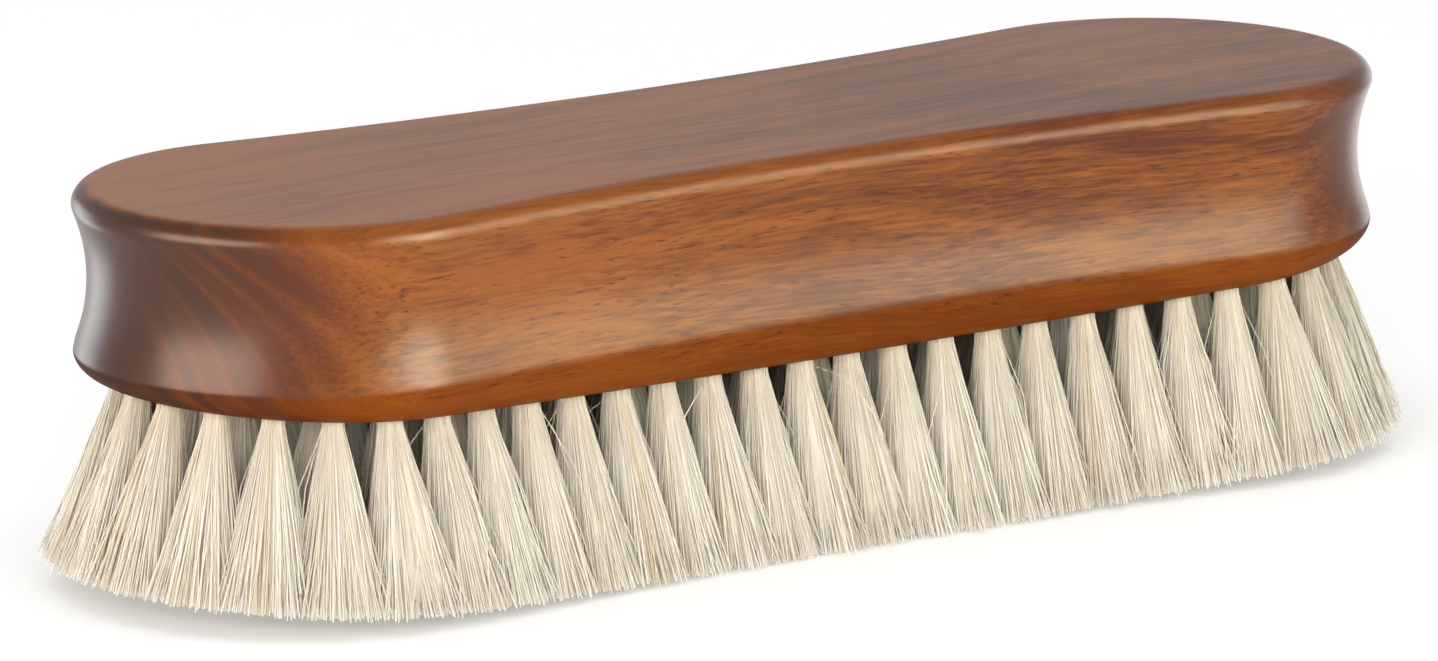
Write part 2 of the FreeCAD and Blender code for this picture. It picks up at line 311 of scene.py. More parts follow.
def block_surface(block):
    """Points, quads, triangles, painted shade and lacquer of the moulded block.

    The outline is carried down a profile of insets and heights. The top edge and the groove keep
    level. Below the groove, heights shrink in the share that the crowned underside leaves of the
    band: it rises by a circle's height over its chord. Top and underside are closed by strips
    across Y.
    """
    low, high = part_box("block")
    half_length = (high.x - low.x) / 2
    end_radius = (high.y - low.y) / 2
    height = high.z - low.z
    ring, facing = outline(block, half_length, end_radius)
    crown_radius = half_length**2 / (2 * block.rise) + block.rise / 2

    round_ = block.top_round
    band = block.rise + block.lower_band
    half_cove = (height - round_ - band) / 2
    cove_radius = (half_cove**2 + block.cove_depth**2) / (2 * block.cove_depth)
    sweep = math.degrees(math.asin(half_cove / cove_radius))
    deepest = block.cove_depth - cove_radius
    # insets grow inwards, heights are above the underside's lowest line
    profile = np.concatenate(
        [
            [[round_ + FLAT_RUN, height]],
            arc((round_, height - round_), (-round_, round_), 90, 0, ROUND_POINTS),
            arc((deepest, band + half_cove), (cove_radius, cove_radius), sweep, -sweep, COVE_POINTS),
            arc((block.lower_round, band), (-block.lower_round, -band), 0, 90, LOWER_POINTS),
            [[block.lower_round + FLAT_RUN, 0]],
        ]
    )
    # the lower rim is sanded rounder than the rest
    crisp, rounder = softened(profile, SANDING), softened(profile, RIM_SANDING)
    share = np.clip((band + RIM_REACH - crisp[:, 1:]) / RIM_BLEND, 0, 1)
    profile = (crisp + (rounder - crisp) * share)[::KEPT_EVERY]
    inset, level = profile[:, :1], profile[:, 1:]
    place = ring[None] - facing[None] * inset[:, :, None]
    crown = crown_radius - np.sqrt(crown_radius**2 - place[:, :, 0] ** 2)
    level = level + crown * np.clip(1 - level / band, 0, 1) + low.z
    points = np.concatenate([place, np.minimum(level, high.z)[:, :, None]], 2)
    rings, count = points.shape[:2]
    step = np.arange(1, count // 2 - 1)
    cap = np.stack([step, step + 1, count - step - 1, count - step], 1)
    middle = count // 2
    ends = np.array([[0, 1, count - 1], [middle - 1, middle, middle + 1]])
    last = (rings - 1) * count
    quads = np.concatenate([walls(1, rings, count), cap, last + cap[:, ::-1]])
    triangles = np.concatenate([ends, last + ends[:, ::-1]])
    # painted shade: darker on the downward-facing band under the groove and, less, on the rounded top edge
    below = np.clip((band - profile[:, 1]) / EDGE_BLEND, 0, 1)
    edge = np.clip((profile[:, 1] - height + round_) / EDGE_BLEND, 0, 1) * (profile[:, 0] < round_)
    tint = np.repeat(below + edge * TOP_EDGE_SHADE, count)
    # the lower edge and the underside got little lacquer
    lacquer = np.repeat(1 - BAND_LACQUER_LOSS * below, count)
    return points.reshape(-1, 3), quads, triangles, tint, lacquer


def node_points(name):
    """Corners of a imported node, each once."""
    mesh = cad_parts[name].data
    points = np.empty(len(mesh.vertices) * 3, np.float32)
    mesh.vertices.foreach_get("co", points)
    return np.unique(np.round(points.reshape(-1, 3).astype(float), CORNER_DECIMALS), axis=0)


def tuft_forms(name):
    """Tip, collar and fold polygons of each tuft solid in a node, as arrays of six corners.

    The solids lie in different quarters or halves of the brush. In each, the six lowest corners
    are the tip's, the six highest the fold's in the wood, and the collar's are between them.
    """
    points = node_points(name)
    side = (points[:, 0] > 0).astype(int)
    if not name.startswith("centre"):
        side += 2 * (points[:, 1] > 0)
    # the tuft in the very middle lies in both halves
    if len(points) == 3 * TUFT_SIDES:
        side[:] = 0
    forms = []
    for number in np.unique(side):
        solid = points[side == number]
        solid = solid[np.argsort(solid[:, 2])]
        forms.append((solid[:TUFT_SIDES], solid[TUFT_SIDES:-TUFT_SIDES], solid[-TUFT_SIDES:]))
    return forms


def reach_of(polygon, direction):
    """Distance from a convex polygon's middle to its rim along unit directions, seen from above.

    For each side it is the side's distance over the cosine to its normal, and the least counts.
    """
    flat = polygon[:, :2] - polygon[:, :2].mean(0)
    flat = flat[np.argsort(np.arctan2(flat[:, 1], flat[:, 0]))]
    side = np.roll(flat, -1, 0) - flat
    normal = np.stack([side[:, 1], -side[:, 0]], 1) / np.linalg.norm(side, axis=1)[:, None]
    gap = (flat * normal).sum(1)
    facing = direction @ normal.T
    return np.where(facing > 1e-6, gap / np.maximum(facing, 1e-6), np.inf).min(1)


def scattered(polygon, count, draw):
    """Places spread evenly over a convex polygon, from its middle and seen from above.

    A triangle of the fan about the middle is drawn by its area, and then a place in it.
    """
    flat = polygon[:, :2] - polygon[:, :2].mean(0)
    flat = flat[np.argsort(np.arctan2(flat[:, 1], flat[:, 0]))]
    following = np.roll(flat, -1, 0)
    area = np.abs(flat[:, 0] * following[:, 1] - flat[:, 1] * following[:, 0])
    pick = draw.choice(len(flat), count, p=area / area.sum())
    out, along = np.sqrt(draw.random(count)), draw.random(count)
    return flat[pick] * (out * (1 - along))[:, None] + following[pick] * (out * along)[:, None]


def slope_of(polygon):
    """Rise of a polygon's plane per metre of X."""
    flat = polygon - polygon.mean(0)
    return (flat[:, 0] * flat[:, 2]).sum() / (flat[:, 0] ** 2).sum()


# A hair has this many rings, the first in the wood and the second at its mouth, of so many corners,
# its rings' widths over its own, a root so deep in the wood, and a share of the usual thickness
RINGS = 5
SIDES = 3
RING_WIDTHS = np.array([0.7, 0.75, 1.0, 1.2, 1.1])
ROOT_DEPTH = 2.4 * MM
THICKNESS_SHARES = (0.8, 1.2)
# A fan's hairs stand closer to its middle by this power
FAN_CROWDING = 1.3
# Hairs in a lock, how unevenly it draws them in, how much of a hair's tone is its lock's,
# and shares of loose hairs and of short ones
LOCK_SIZE = 34
LOCK_PULLS = (0.5, 1.2)
LOCK_TONE = 0.6
LOOSE_SHARE = 0.02
SHORT_SHARE = 0.06
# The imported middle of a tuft: its rings' ways down, their widths over the tuft's, its own fan
# along the row, its corners and its tone
CORE_WAYS = np.array([-0.06, 0, 0.12, 0.25, 0.42, 0.62, 0.8, 0.92])
CORE_WIDTHS = np.array([0.85, 0.9, 0.92, 0.95, 0.95, 0.94, 0.92, 0.8])
CORE_FAN = 1.35
CORE_SIDES = 16
CORE_TONE = 0.5
# Of the map's height, hairs take the lower part, then come the cores' sides and their lids
HAIR_MAP = 0.92
CORE_MAP = (0.93, 0.98)
LID_MAP = (0.985, 0.995)
# A hair's cell of the map is so many times as tall as wide. Its sides fill these shares of the cell
# from this height up. Its lids start at these heights and are this share of the sides' height
CELL_ASPECT = 8
CELL_FILL = (0.9, 0.8)
SIDES_FROM = 0.1
LIDS_FROM = (0.02, 0.93)
LID_HEIGHT = 0.05
# Each piece of hair has its own seed, counted from the first; the loose hairs have another
HAIR_SEED = 700
STRAY_SEED = 811
# Loose hairs: how far along the block their tufts may be; then, in millimetres, their roots' places
# out from and beside the tuft's middle, ranges of their way across, out and down, and the usual bow
STRAY_LIMIT = 62 * MM
STRAY_ROOT = (1.4, 1.2)
STRAY_ACROSS = (3, 8)
STRAY_OUT = (2.2, 4)
STRAY_FALL = (4, 12)
STRAY_BOW = 0.7
# Their tones, their thickness over the usual, how much the length counts in their outward
# direction, and the power by which they fall
STRAY_TONES = (0.2, 0.9)
STRAY_THICKNESS = 0.7
STRAY_LENGTHWISE = 0.3
STRAY_DROOP = 1.6


def row_of(tip, collar):
    """Direction along a tuft's row, square to its lean; a tuft without a lean is in the middle line."""
    lean = (tip.mean(0) - collar.mean(0))[:2]
    length = np.linalg.norm(lean)
    return np.array([-lean[1], lean[0]]) / length if length > MM else np.array([-1.0, 0])


def tuft_strands(form, hair, count, draw):
    """Paths and tones of one tuft's hairs: arrays of strands by rings, and of strands.

    A hair's place in the tip polygon, as a share of the way to its rim, is its place in the
    collar too. It runs straight from inside the wood to the collar, then fans out to its tip,
    and strays, bows and draws towards its lock by shares that grow with the way down.
    """
    tip, collar, fold = form
    spot = scattered(tip, count, draw)
    distance = np.linalg.norm(spot, axis=1)
    direction = spot / distance[:, None]
    share = np.minimum(distance / reach_of(tip, direction), 1)
    root = direction * (share * reach_of(collar, direction) * hair.root_width)[:, None]
    axis = fold.mean(0) - collar.mean(0)
    axis /= np.linalg.norm(axis)
    row = row_of(tip, collar)
    lean = np.array([row[1], -row[0]])
    beside = spot @ row
    wide = np.abs(beside).max()
    beside = np.sign(beside) * (np.abs(beside) / wide) ** FAN_CROWDING * wide * hair.row_fan
    outer = spot @ lean * hair.cross_fan + hair.end_flare * lean[0] ** 2
    spot = np.outer(outer, lean) + np.outer(beside, row)

    locks = draw.choice(count, count // LOCK_SIZE, replace=False)
    lock = np.linalg.norm(spot[:, None] - spot[locks][None], axis=2).argmin(1)
    pull = (spot[locks][lock] - spot) * hair.clumping * draw.uniform(*LOCK_PULLS, (count, 1))
    loose = (draw.random(count) < LOOSE_SHARE)[:, None]
    wander = draw.normal(0, hair.wander, (count, 2)) + draw.normal(0, hair.looseness, (count, 2)) * loose
    bow = draw.normal(0, hair.bow, (count, 2)) + draw.normal(0, hair.looseness, (count, 2)) * loose
    short = np.abs(draw.normal(0, hair.trim, count)) + hair.trim * share**2
    short += np.where(draw.random(count) < SHORT_SHARE, draw.uniform(0, hair.shortest, count), 0)

    mouth = np.concatenate([root, (slope_of(collar) * root[:, 0])[:, None]], 1) + collar.mean(0)
    end = np.concatenate([spot, (slope_of(tip) * spot[:, 0])[:, None]], 1) + tip.mean(0)
    way = np.linspace(0, 1, RINGS - 1)[None, :, None]
    kept = 1 - short / (mouth - end)[:, 2]
    down = mouth[:, None] + (end - mouth)[:, None] * way * kept[:, None, None]
    down[:, :, :2] += (pull + wander)[:, None] * way**2 + bow[:, None] * np.sin(np.pi * way)
    inside = (mouth + axis * ROOT_DEPTH)[:, None]
    tones = LOCK_TONE * draw.random(len(locks))[lock] + (1 - LOCK_TONE) * draw.random(count)
    return np.concatenate([inside, down], 1), tones


def walls(bodies, rings, sides):
    """Quads between the rings of closed bodies: rings run down, their corners counterclockwise."""
    start = (np.arange(bodies) * rings * sides)[:, None, None] + (np.arange(rings - 1) * sides)[None, :, None]
    here, after = np.arange(sides), (np.arange(sides) + 1) % sides
    return np.stack([start + here, start + sides + here, start + sides + after, start + after], 3).reshape(-1, 4)


def wall_map(corners, cell, rings, sides):
    """Map places of those quads: a grid of rings by sides in each body's cell of the map."""
    side, ring = np.meshgrid(np.arange(sides), np.arange(rings - 1))
    grid = np.stack([side, ring], 2)[:, :, None] + np.array([[0, 0], [0, 1], [1, 1], [1, 0]])
    return (corners[:, None, None, None] + grid / np.array([sides, rings - 1]) * cell).reshape(-1, 2)


def strand_tubes(paths, tones, thickness, draw):
    """Arrays of three-sided tubes along the paths, as hair_piece takes them.

    At each ring two directions square to the path carry the corners at even angles. The hair is
    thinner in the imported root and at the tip. Each tube has its own upright cell of the map.
    """
    count = len(paths)
    heading = np.gradient(paths, axis=1)
    heading /= np.linalg.norm(heading, axis=2)[:, :, None]
    angle = draw.uniform(0, 2 * np.pi, count)
    level = np.stack([np.cos(angle), np.sin(angle), np.zeros(count)], 1)[:, None]
    first = np.cross(heading, np.broadcast_to(level, heading.shape))
    first /= np.linalg.norm(first, axis=2)[:, :, None]
    second = np.cross(first, heading)
    radius = RING_WIDTHS * thickness / 2 * draw.uniform(*THICKNESS_SHARES, (count, 1))
    turn = np.arange(SIDES) * 2 * np.pi / SIDES
    spoke = first[:, :, None] * np.cos(turn)[:, None] + second[:, :, None] * np.sin(turn)[:, None]
    points = paths[:, :, None] + radius[:, :, None, None] * spoke

    base = (np.arange(count) * RINGS * SIDES)[:, None]
    lids = np.concatenate([base + [0, 1, 2], base + (RINGS - 1) * SIDES + [2, 1, 0]])
    columns = math.ceil(math.sqrt(count * CELL_ASPECT))
    rows = math.ceil(count / columns)
    tall = HAIR_MAP / rows
    cell = np.array([CELL_FILL[0] / columns, CELL_FILL[1] * tall])
    number = np.arange(count)
    foot = np.stack([number % columns / columns, number // columns * tall], 1)
    corners = foot + [0, SIDES_FROM * tall]
    lid = np.array([[0, 0], [1, 0], [0.5, LID_HEIGHT]]) * cell
    lid_map = np.concatenate([foot[:, None] + [0, start * tall] + lid for start in LIDS_FROM])
    tone = np.repeat(tones, RINGS * SIDES)
    reach = np.tile(np.repeat(np.linspace(0, 1, RINGS), SIDES), count)
    quad_map = wall_map(corners, cell, RINGS, SIDES)
    quads = walls(count, RINGS, SIDES)
    return points.reshape(-1, 3), quads, lids, tone, reach, quad_map, lid_map.reshape(-1, 2)


def core_points(form, root_width):
    """Rings of a tuft's packed middle: the collar's rim blended into the tip's by the way down.

    It spreads along the row by a share that grows with the way down, and narrows to an end above
    the tips, so that only gaps between the outer hairs show it.
    """
    tip, collar, _ = form
    angle = np.arange(CORE_SIDES) * 2 * np.pi / CORE_SIDES
    spoke = np.stack([np.cos(angle), np.sin(angle)], 1)
    opening = CORE_WAYS[:, None]
    rim = (1 - opening) * reach_of(collar, spoke) * root_width + opening * reach_of(tip, spoke)
    middle = (1 - opening) * collar.mean(0)[:2] + opening * tip.mean(0)[:2]
    spread = (rim * CORE_WIDTHS[:, None])[:, :, None] * spoke
    row = row_of(tip, collar)
    spread += (spread @ row * opening * (CORE_FAN - 1))[:, :, None] * row
    flat = middle[:, None] + spread
    level = (1 - CORE_WAYS) * collar.mean(0)[2] + CORE_WAYS * tip.mean(0)[2]
    return np.concatenate([flat, np.broadcast_to(level[:, None, None], flat.shape[:2] + (1,))], 2)


def packed_cores(forms, root_width):
    """Arrays of the tufts' packed middles, each one closed body, as hair_piece takes them."""
    count, rings = len(forms), len(CORE_WAYS)
    points = np.concatenate([core_points(form, root_width).reshape(-1, 3) for form in forms])
    spot = np.arange(1, CORE_SIDES - 1)
    lid = np.stack([np.zeros_like(spot), spot, spot + 1], 1)
    both = np.concatenate([lid, lid[:, ::-1] + (rings - 1) * CORE_SIDES])
    lids = (np.arange(count) * rings * CORE_SIDES)[:, None, None] + both
    column = np.arange(count) / count
    cell = np.array([CELL_FILL[0] / count, CORE_MAP[1] - CORE_MAP[0]])
    quad_map = wall_map(np.stack([column, np.full(count, CORE_MAP[0])], 1), cell, rings, CORE_SIDES)
    narrow = CELL_FILL[0] / count / len(both)
    across = column[:, None] + np.arange(len(both)) * narrow
    corner = np.stack([across, np.full_like(across, LID_MAP[0])], 2)[:, :, None]
    corner_map = np.array([[0, 0], [CELL_FILL[0], 0], [CELL_FILL[0] / 2, 1]])
    lid_map = corner + corner_map * [narrow, LID_MAP[1] - LID_MAP[0]]
    tone = np.full(len(points), CORE_TONE)
    reach = np.tile(np.repeat((1 + (RINGS - 2) * CORE_WAYS) / (RINGS - 1), CORE_SIDES), count)
    quads = walls(count, rings, CORE_SIDES)
    return points, quads, lids.reshape(-1, 3), tone, reach, quad_map, lid_map.reshape(-1, 2)


def hair_piece(name, parts, material):
    """A piece of hair on the brush from parts: points, quads, triangles, tones, reaches and map places."""
    first = np.cumsum([0] + [len(part[0]) for part in parts])
    points, tone, reach = (np.concatenate([part[at] for part in parts]) for at in (0, 3, 4))
    quads, triangles = (np.concatenate([part[at] + start for part, start in zip(parts, first)]) for at in (1, 2))
    places = np.concatenate([part[at] for at in (5, 6) for part in parts])
    piece = new_piece(name, points, quads, triangles, material)
    for label, values in (("tone", tone), ("reach", reach)):
        layer = piece.data.attributes.new(label, "FLOAT", "POINT")
        layer.data.foreach_set("value", values.astype(np.float32))
    layer = piece.data.uv_layers.new(name="OFBake")
    layer.data.foreach_set("uv", places.astype(np.float32).ravel())
    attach(piece, "root")
    return piece


# Materials


def linear(hex_colour):
    """An sRGB hex colour as linear red, green, blue and alpha."""
    values = [int(hex_colour[at : at + 2], 16) / 255 for at in (0, 2, 4)]
    return [value / 12.92 if value <= 0.04045 else ((value + 0.055) / 1.055) ** 2.4 for value in values] + [1]


def add_node(tree, kind, inputs=None, **settings):
    """Add a node with its settings, and link or set its inputs by name or number."""
    made = tree.nodes.new(kind)
    for name, value in settings.items():
        setattr(made, name, value)
    for name, value in (inputs or {}).items():
        socket = made.inputs[name]
        if isinstance(value, bpy.types.NodeSocket):
            tree.links.new(value, socket)
        else:
            socket.default_value = value
    return made


def new_material(name):
    """An empty node material and its output node."""
    material = bpy.data.materials.new(name)
    material.use_nodes = True
    material.node_tree.nodes.clear()
    return material, material.node_tree, add_node(material.node_tree, "ShaderNodeOutputMaterial")


def lacquered_beech(block):
    """Beech, moulded, stained brown and lacquered.

    The stain brings out growth rings, fine streaks and the many short flecks of beech. It soaks
    deeper into the end grain, which goes dark. The lacquer gives a soft clear shine over it.
    """
    material, tree, out = new_material("beech_stained_lacquered")
    where = add_node(tree, "ShaderNodeTexCoord")
    place = where.outputs["Object"]
    # the grain sways by a few millimetres over about 60 mm
    sway = add_node(tree, "ShaderNodeTexNoise", {"Vector": place, "Scale": 1 / (60 * MM), "Detail": 1.0})
    offset = add_node(
        tree, "ShaderNodeVectorMath", {0: sway.outputs["Color"], 1: (0, 7 * MM, 7 * MM)}, operation="MULTIPLY"
    )
    grain = add_node(tree, "ShaderNodeVectorMath", {0: place, 1: offset.outputs[0]}, operation="ADD").outputs[0]
    # growth rings some 4 mm apart round a heart behind and below the block, drifting along the length
    heart = add_node(
        tree, "ShaderNodeVectorMath", {0: grain, 1: (0, 55 * MM, -10 * MM)}, operation="SUBTRACT"
    )
    level = add_node(tree, "ShaderNodeVectorMath", {0: heart.outputs[0], 1: (0, 1, 1)}, operation="MULTIPLY")
    radius = add_node(tree, "ShaderNodeVectorMath", {0: level.outputs[0]}, operation="LENGTH")
    along = add_node(tree, "ShaderNodeSeparateXYZ", {0: place})
    drift = add_node(
        tree,
        "ShaderNodeMath",
        {0: along.outputs["X"], 1: 0.05, 2: radius.outputs["Value"]},
        operation="MULTIPLY_ADD",
    )
    years = add_node(tree, "ShaderNodeMath", {0: drift.outputs[0], 1: 1 / (4 * MM)}, operation="MULTIPLY")
    rings = add_node(
        tree, "ShaderNodeTexNoise", {"W": years.outputs[0], "Scale": 1.0, "Detail": 2.0}, noise_dimensions="1D"
    )
    # how far the side has turned to an end: the normal's X over its level length
    facing = add_node(tree, "ShaderNodeSeparateXYZ", {0: where.outputs["Normal"]})
    flat = add_node(tree, "ShaderNodeVectorMath", {0: where.outputs["Normal"], 1: (1, 1, 0)}, operation="MULTIPLY")
    steep = add_node(tree, "ShaderNodeVectorMath", {0: flat.outputs[0]}, operation="LENGTH")
    steep = add_node(tree, "ShaderNodeMath", {0: steep.outputs["Value"], 1: 0.5}, operation="MAXIMUM")
    endward = add_node(tree, "ShaderNodeMath", {0: facing.outputs["X"], 1: steep.outputs[0]}, operation="DIVIDE")
    endward = add_node(tree, "ShaderNodeMath", {0: endward.outputs[0]}, operation="ABSOLUTE")
    # streaks 0.5 mm across and some 12 mm long, fainter where they are cut across
    stretched = add_node(
        tree,
        "ShaderNodeVectorMath",
        {0: grain, 1: (1 / (12 * MM), 1 / (0.5 * MM), 1 / (0.5 * MM))},
        operation="MULTIPLY",
    )
    streak = add_node(tree, "ShaderNodeTexNoise", {"Vector": stretched.outputs[0], "Scale": 1.0, "Detail": 3.0})
    crossed = add_node(
        tree,
        "ShaderNodeMapRange",
        {"Value": endward.outputs[0], "From Min": 0.08, "From Max": 0.5, "To Min": 0.0, "To Max": 0.8},
    )
    # Mix keeps sockets of every data type: plain values are at numbers 2 and 3, colours at 6 and 7
    streak = add_node(tree, "ShaderNodeMix", {0: crossed.outputs[0], 2: streak.outputs[0], 3: 0.5})
    # flecks 0.22 mm across and 2.4 mm long
    short = add_node(
        tree,
        "ShaderNodeVectorMath",
        {0: grain, 1: (1 / (2.4 * MM), 1 / (0.22 * MM), 1 / (0.22 * MM))},
        operation="MULTIPLY",
    )
    speck = add_node(tree, "ShaderNodeTexNoise", {"Vector": short.outputs[0], "Scale": 1.0, "Detail": 0.0})
    fleck = add_node(
        tree,
        "ShaderNodeMapRange",
        {"Value": speck.outputs[0], "From Min": 0.66, "From Max": 0.84, "To Min": 0.0, "To Max": 0.7},
    )
    # cloudy stain, patches about 35 mm across
    cloud = add_node(
        tree,
        "ShaderNodeTexNoise",
        {"Vector": place, "W": 0.0, "Scale": 1 / (35 * MM), "Detail": 1.0},
        noise_dimensions="4D",
    )
    # these add up by their shares, and painted shade darkens the wood a little towards +X, where less light falls
    mixed = add_node(tree, "ShaderNodeMath", {0: rings.outputs["Fac"], 1: 0.5}, operation="MULTIPLY")
    shares = (
        (streak.outputs[0], 0.7),
        (cloud.outputs[0], 0.5),
        (speck.outputs[0], 0.12),
        (along.outputs["X"], 0.1 / (90 * MM)),
    )
    for value, share in shares:
        mixed = add_node(
            tree, "ShaderNodeMath", {0: value, 1: share, 2: mixed.outputs[0]}, operation="MULTIPLY_ADD"
        )
    # painted shade: the wood goes darker where the sides turn into the ends
    turn_shade = add_node(
        tree,
        "ShaderNodeMapRange",
        {"Value": endward.outputs[0], "From Min": 0.1, "From Max": 0.75, "To Min": 0.0, "To Max": 0.26},
        interpolation_type="SMOOTHSTEP",
    )
    mixed = add_node(tree, "ShaderNodeMath", {0: turn_shade.outputs[0], 1: mixed.outputs[0]}, operation="ADD")
    depth = add_node(
        tree, "ShaderNodeMapRange", {"Value": mixed.outputs[0], "From Min": 0.75, "From Max": 1.09}
    )
    wood = add_node(
        tree,
        "ShaderNodeMix",
        {0: depth.outputs[0], 6: linear(block.light_wood), 7: linear(block.dark_wood)},
        data_type="RGBA",
    )
    # painted shade: the band under the groove and the rounded top edge are mixed towards the shaded edge colour
    shade_attribute = add_node(tree, "ShaderNodeAttribute", attribute_name="tint")
    shade_share = add_node(tree, "ShaderNodeMath", {0: shade_attribute.outputs["Fac"], 1: 0.6}, operation="MULTIPLY")
    wood = add_node(
        tree,
        "ShaderNodeMix",
        {0: shade_share.outputs[0], 6: wood.outputs[2], 7: linear(block.shaded_edge_wood)},
        data_type="RGBA",
    )
    ended = add_node(
        tree,
        "ShaderNodeMapRange",
        {"Value": endward.outputs[0], "From Min": 0.3, "From Max": 0.97},
        interpolation_type="SMOOTHSTEP",
    )
    # end grain: light early rings keep some colour, the rest goes dark
    banded = add_node(
        tree,
        "ShaderNodeMapRange",
        {"Value": rings.outputs["Fac"], "From Min": 0.39, "From Max": 0.58, "To Min": 0.28, "To Max": 1.0},
    )
    # at the very ends the dark is even
    even = add_node(tree, "ShaderNodeMapRange", {"Value": endward.outputs[0], "From Min": 0.82, "From Max": 1.0})
    banded = add_node(tree, "ShaderNodeMix", {0: even.outputs[0], 2: banded.outputs[0], 3: 1.0})
    ended = add_node(tree, "ShaderNodeMath", {0: ended.outputs[0], 1: banded.outputs[0]}, operation="MULTIPLY")
    stained = add_node(
        tree,
        "ShaderNodeMix",
        {0: ended.outputs[0], 6: wood.outputs[2], 7: linear(block.end_wood)},
        data_type="RGBA",
    )
    # flecks lie in the long sides and hardly show on the top and the ends
    sided = add_node(tree, "ShaderNodeMath", {0: facing.outputs["Y"], 1: 2.0}, operation="POWER")
    sided = add_node(
        tree,
        "ShaderNodeMapRange",
        {"Value": sided.outputs[0], "From Min": 0.75, "From Max": 0.98, "To Min": 0.05, "To Max": 1.0},
    )
    fleck = add_node(tree, "ShaderNodeMath", {0: fleck.outputs[0], 1: sided.outputs[0]}, operation="MULTIPLY")
    flecked = add_node(
        tree,
        "ShaderNodeMix",
        {0: fleck.outputs[0], 6: stained.outputs[2], 7: linear(block.fleck)},
        data_type="RGBA",
    )
    lacquer = add_node(tree, "ShaderNodeAttribute", attribute_name="lacquer")
    coated = add_node(tree, "ShaderNodeMath", {0: lacquer.outputs["Fac"], 1: 0.85}, operation="MULTIPLY")
    relief = add_node(
        tree, "ShaderNodeBump", {"Strength": 0.15, "Distance": 0.04 * MM, "Height": streak.outputs[0]}
    )
    shader = add_node(
        tree,
        "ShaderNodeBsdfPrincipled",
        {
            "Base Color": flecked.outputs[2],
            "Roughness": 0.5,
            "IOR": 1.5,
            "Specular IOR Level": 0.0,
            "Normal": relief.outputs[0],
            "Coat Weight": coated.outputs[0],
            "Coat Roughness": 0.3,
            "Coat IOR": 1.37,
            "Coat Normal": relief.outputs[0],
        },
    )
    tree.links.new(shader.outputs[0], out.inputs[0])
    return material


def brush_hair(hair):
    """Goat hair, washed and bleached: cream with paler and straw-yellow locks, a low silky shine."""
    material, tree, out = new_material("goat_hair_bleached")
    tone = add_node(tree, "ShaderNodeAttribute", attribute_name="tone")
    reach = add_node(tree, "ShaderNodeAttribute", attribute_name="reach")
    paler = add_node(
        tree, "ShaderNodeMapRange", {"Value": tone.outputs["Fac"], "From Min": 0.3, "From Max": 0.65}
    )
    cream = add_node(
        tree,
        "ShaderNodeMix",
        {0: paler.outputs[0], 6: linear(hair.cream_hair), 7: linear(hair.light_hair)},
        data_type="RGBA",
    )
    yellower = add_node(
        tree,
        "ShaderNodeMapRange",
        {"Value": tone.outputs["Fac"], "From Min": 0.2, "From Max": 0.08, "To Min": 0.0, "To Max": 0.5},
    )
    locks = add_node(
        tree,
        "ShaderNodeMix",
        {0: yellower.outputs[0], 6: cream.outputs[2], 7: linear(hair.straw_hair)},
        data_type="RGBA",
    )
    # the root is a little yellower than the washed length, and painted shade darkens the hair near the wood, under
    # the block
    root_yellow_and_shade = add_node(
        tree,
        "ShaderNodeMapRange",
        {"Value": reach.outputs["Fac"], "From Min": 0.0, "From Max": 0.5, "To Min": 0.5, "To Max": 0.0},
    )
    colour = add_node(
        tree,
        "ShaderNodeMix",
        {0: root_yellow_and_shade.outputs[0], 6: locks.outputs[2], 7: linear(hair.straw_hair)},
        data_type="RGBA",
    )
    shader = add_node(
        tree,
        "ShaderNodeBsdfPrincipled",
        {
            "Base Color": colour.outputs[2],
            "Diffuse Roughness": 1.0,
            "Roughness": 0.5,
            "IOR": 1.55,
            "Specular IOR Level": 0.3,
            "Sheen Weight": 0.3,
            "Sheen Roughness": 0.5,
        },
    )
    tree.links.new(shader.outputs[0], out.inputs[0])
    return material


def drawn_wire():
    """Steel wire, drawn flat: grey with fine lines along its length and a dull shine."""
    material, tree, out = new_material("steel_wire_drawn")
    where = add_node(tree, "ShaderNodeTexCoord")
    # drawing lines 0.05 mm apart
    lines = add_node(
        tree,
        "ShaderNodeVectorMath",
        {0: where.outputs["Object"], 1: (1 / (2 * MM), 1 / (2 * MM), 1 / (0.05 * MM))},
        operation="MULTIPLY",
    )
    drawn = add_node(tree, "ShaderNodeTexNoise", {"Vector": lines.outputs[0], "Scale": 1.0, "Detail": 1.0})
    rough = add_node(
        tree, "ShaderNodeMapRange", {"Value": drawn.outputs[0], "To Min": 0.28, "To Max": 0.5}
    )
    shader = add_node(
        tree,
        "ShaderNodeBsdfPrincipled",
        {"Base Color": linear("b9b9bc"), "Metallic": 1.0, "Roughness": rough.outputs[0]},
    )
    tree.links.new(shader.outputs[0], out.inputs[0])
    return material


def studio_floor(stage):
    """Matt paper sheet: pale, even and without shine."""
    material, tree, out = new_material("paper_matt")
    shader = add_node(
        tree,
        "ShaderNodeBsdfPrincipled",
        {
            "Base Color": linear(stage.floor),
            "Roughness": 0.95,
            "Specular IOR Level": 0.1,
            "Emission Color": linear(stage.floor),
            "Emission Strength": stage.glow,
        },
    )
    tree.links.new(shader.outputs[0], out.inputs[0])
    return material


# Operators

# Half the floor sheet's width, and the camera's sensor in millimetres
FLOOR_HALF = 4
SENSOR = 36


def unit_towards(azimuth, elevation):
    """Unit vector towards that azimuth, counted from the front, and elevation."""
    level = math.cos(elevation)
    return Vector((math.sin(azimuth) * level, -math.cos(azimuth) * level, math.sin(elevation)))


class BRUSH_OT_block(bpy.types.Operator):
    """Mould the block and lacquer it"""

    bl_idname = "brush.block"
    bl_label = "Block"

    def execute(self, context):
        block = context.scene.brush_block
        points, quads, triangles, tint, lacquer = block_surface(block)
        piece = new_piece("lacquered_block", points, quads, triangles, lacquered_beech(block))
        for label, values in (("tint", tint), ("lacquer", lacquer)):
            layer = piece.data.attributes.new(label, "FLOAT", "POINT")
            layer.data.foreach_set("value", values.astype(np.float32))
        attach(piece, "root")
        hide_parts("block")
        return {"FINISHED"}


